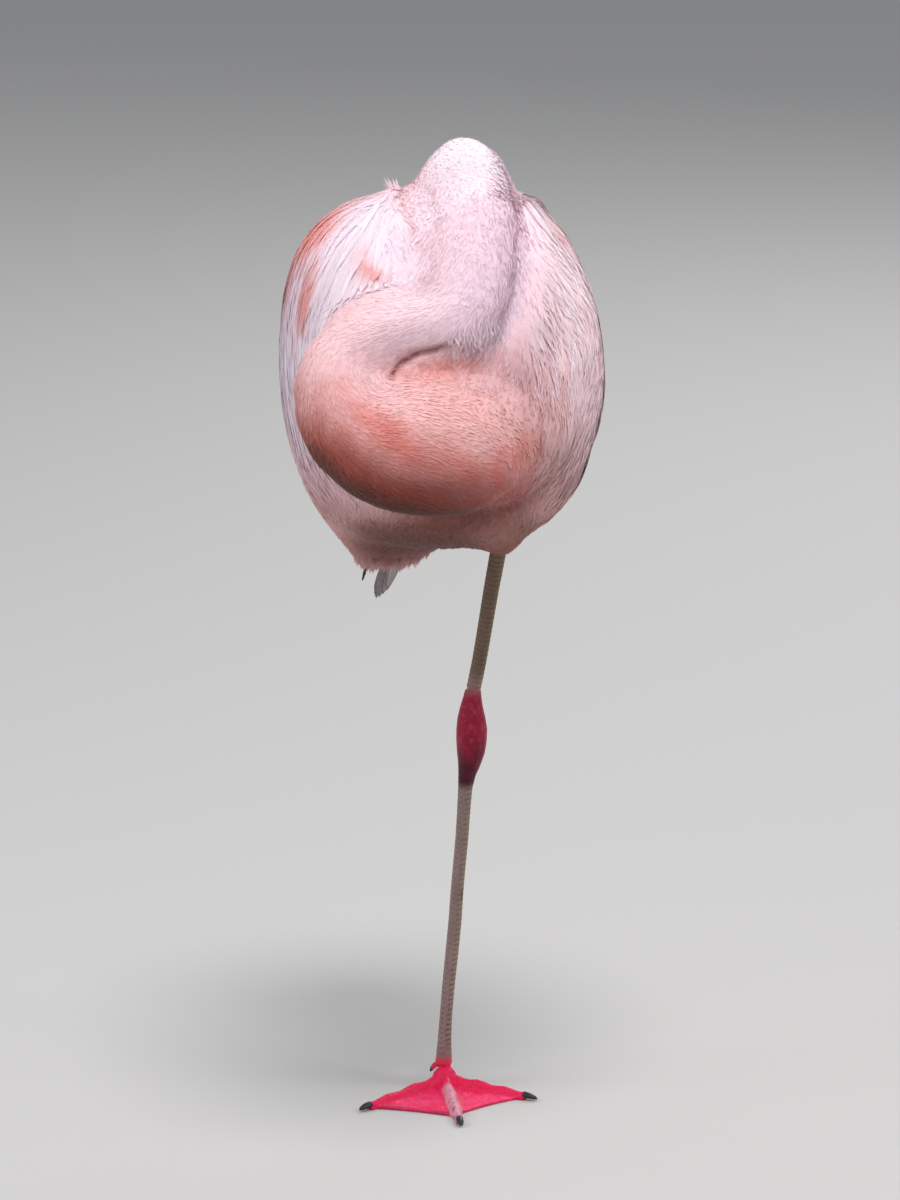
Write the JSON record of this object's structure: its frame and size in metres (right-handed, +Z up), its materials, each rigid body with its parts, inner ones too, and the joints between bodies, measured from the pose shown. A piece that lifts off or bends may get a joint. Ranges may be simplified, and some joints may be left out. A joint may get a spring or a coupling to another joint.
{
  "type": "flamingo",
  "caption": "Life-size still model of a Chilean flamingo asleep on one leg, its neck looped round the breast and its head laid back on the shoulders.",
  "frame": {"origin": "on the floor under the standing foot, where the shank meets the toes", "axes": "+Z up; the bird's breast faces -Y; +X is the bird's left"},
  "size_m": [0.2151, 0.3633, 0.6514],
  "materials": {
    "head_plumage": "short soft plumage, matt",
    "neck_plumage_pale": "short soft plumage, matt",
    "neck_plumage_peach": "short soft plumage, matt",
    "neck_plumage_salmon": "short soft plumage, matt",
    "neck_plumage_coral": "short soft plumage, matt",
    "body_plumage": "ruffled body plumage, matt",
    "wing_plumage": "covert feathers, matt",
    "flight_feathers": "stiff feathers, satin",
    "tail_feathers": "stiff feathers, matt",
    "bill_pale": "horn, satin",
    "bill_dark": "horn, satin",
    "eye": "wet, glossy",
    "leg_skin": "scaled skin",
    "joint_skin": "scaled skin",
    "foot_skin": "scaled skin",
    "toe_skin_pale": "scaled skin",
    "web_skin": "thin soft skin",
    "claw": "horn, satin"
  },
  "bodies": {
    "root": {"head": "head_plumage", "neck_upper": "neck_plumage_pale", "neck_middle": "neck_plumage_peach", "neck_lower": "neck_plumage_salmon", "neck_base": "neck_plumage_coral", "trunk": "body_plumage", "wing_left": "wing_plumage", "wing_right": "wing_plumage", "primaries_left": "flight_feathers", "primaries_right": "flight_feathers", "tail": "tail_feathers", "bill_upper": "bill_pale", "bill_lower": "bill_dark", "eye_left": "eye", "eye_right": "eye", "tibia_left": "leg_skin", "shank_left": "leg_skin", "shank_right": "leg_skin", "ankle_left": "joint_skin", "ankle_right": "joint_skin", "foot_left": "foot_skin", "foot_right": "foot_skin", "toe_left_inner": "foot_skin", "toe_left_outer": "foot_skin", "toe_left_middle": "toe_skin_pale", "web_left_inner": "web_skin", "web_left_outer": "web_skin", "hallux_left": "foot_skin", "claw_left_inner": "claw", "claw_left_middle": "claw", "claw_left_outer": "claw", "claw_left_hallux": "claw"}
  },
  "joints": []
}
